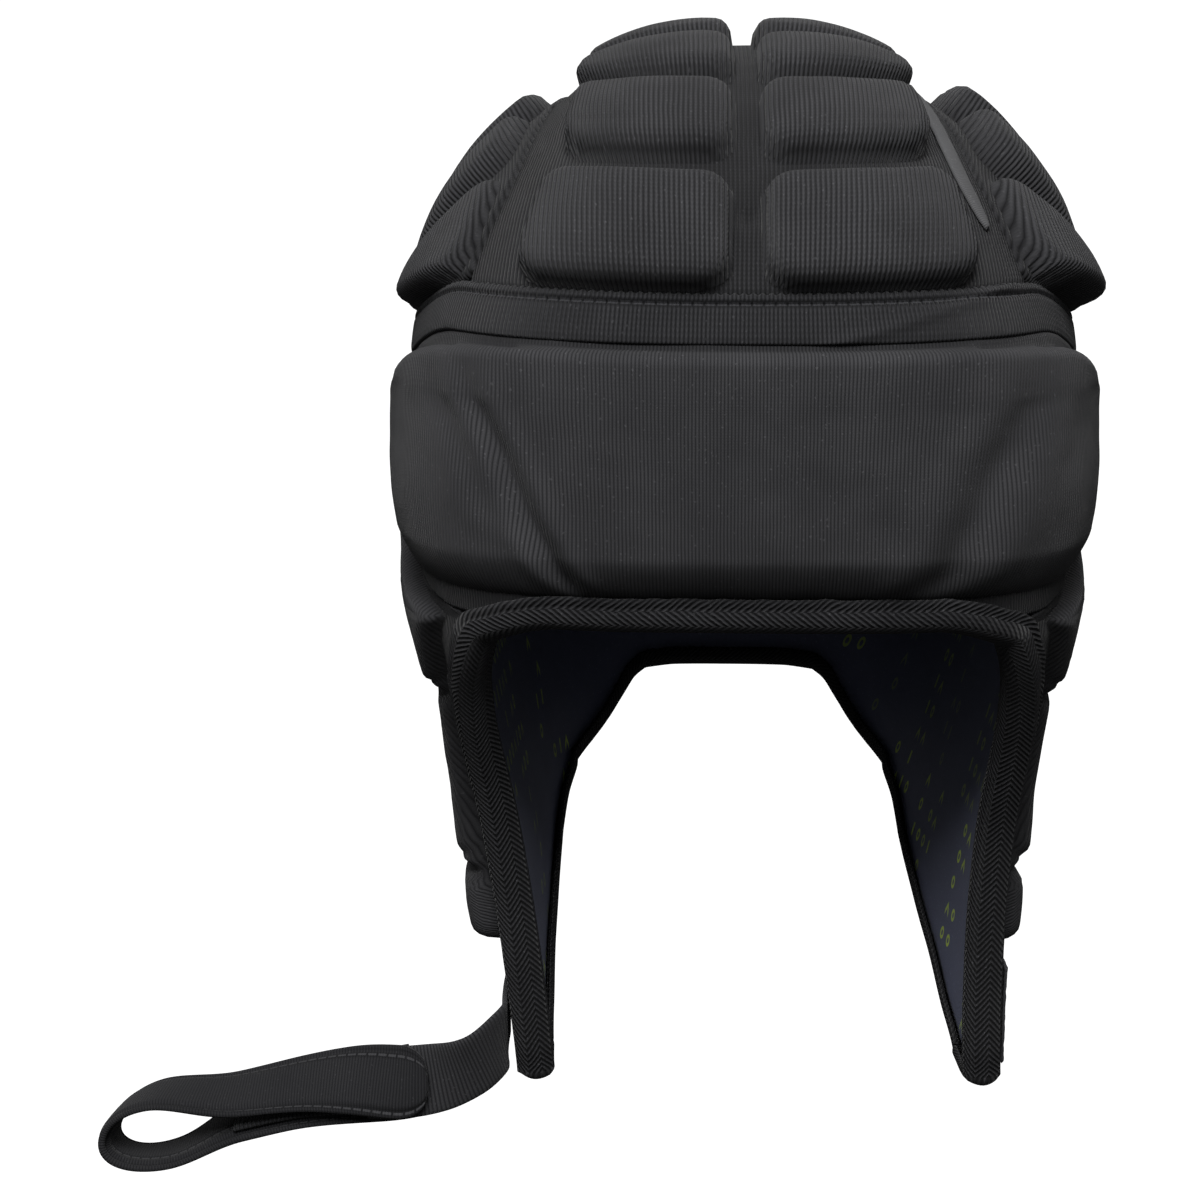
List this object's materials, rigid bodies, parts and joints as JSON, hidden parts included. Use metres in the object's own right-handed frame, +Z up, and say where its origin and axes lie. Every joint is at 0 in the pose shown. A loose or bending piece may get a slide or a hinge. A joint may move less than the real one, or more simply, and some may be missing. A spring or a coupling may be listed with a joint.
{
  "type": "soft shell helmet",
  "caption": "Black padded soft shell helmet with ear flaps, an elastic brow band, a thin lining and an open chin strap.",
  "frame": {"origin": "inside of the crown at its highest point, where the helmet rests on a head", "axes": "+Z up; the wearer looks along -Y and the wearer's left is +X"},
  "size_m": [0.2336, 0.2274, 0.2669],
  "materials": {
    "ribbed_cloth": "matt ribbed knit",
    "knit_cloth": "matt fine knit",
    "elastic": "matt ribbed elastic",
    "lining_cloth": "smooth, with small printed marks",
    "twill_tape": "matt herringbone twill",
    "strip_tape": "smooth grey tape",
    "loop_tape": "looped pile",
    "webbing": "finely ribbed elastic webbing",
    "tab_cloth": "matt padded knit",
    "hook_tape": "short stiff hooks"
  },
  "bodies": {
    "root": {"crown_panel": "ribbed_cloth", "side_panel_right": "ribbed_cloth", "side_panel_left": "ribbed_cloth", "brow_band": "elastic", "brow_pad": "knit_cloth", "ear_panel_right": "knit_cloth", "ear_panel_left": "knit_cloth", "nape_panel": "knit_cloth", "lining": "lining_cloth", "face_binding": "twill_tape", "nape_binding": "twill_tape", "seam_strip": "strip_tape", "loop_patch": "loop_tape", "chin_strap": "webbing", "strap_tab": "tab_cloth", "hook_patch": "hook_tape"}
  },
  "joints": []
}
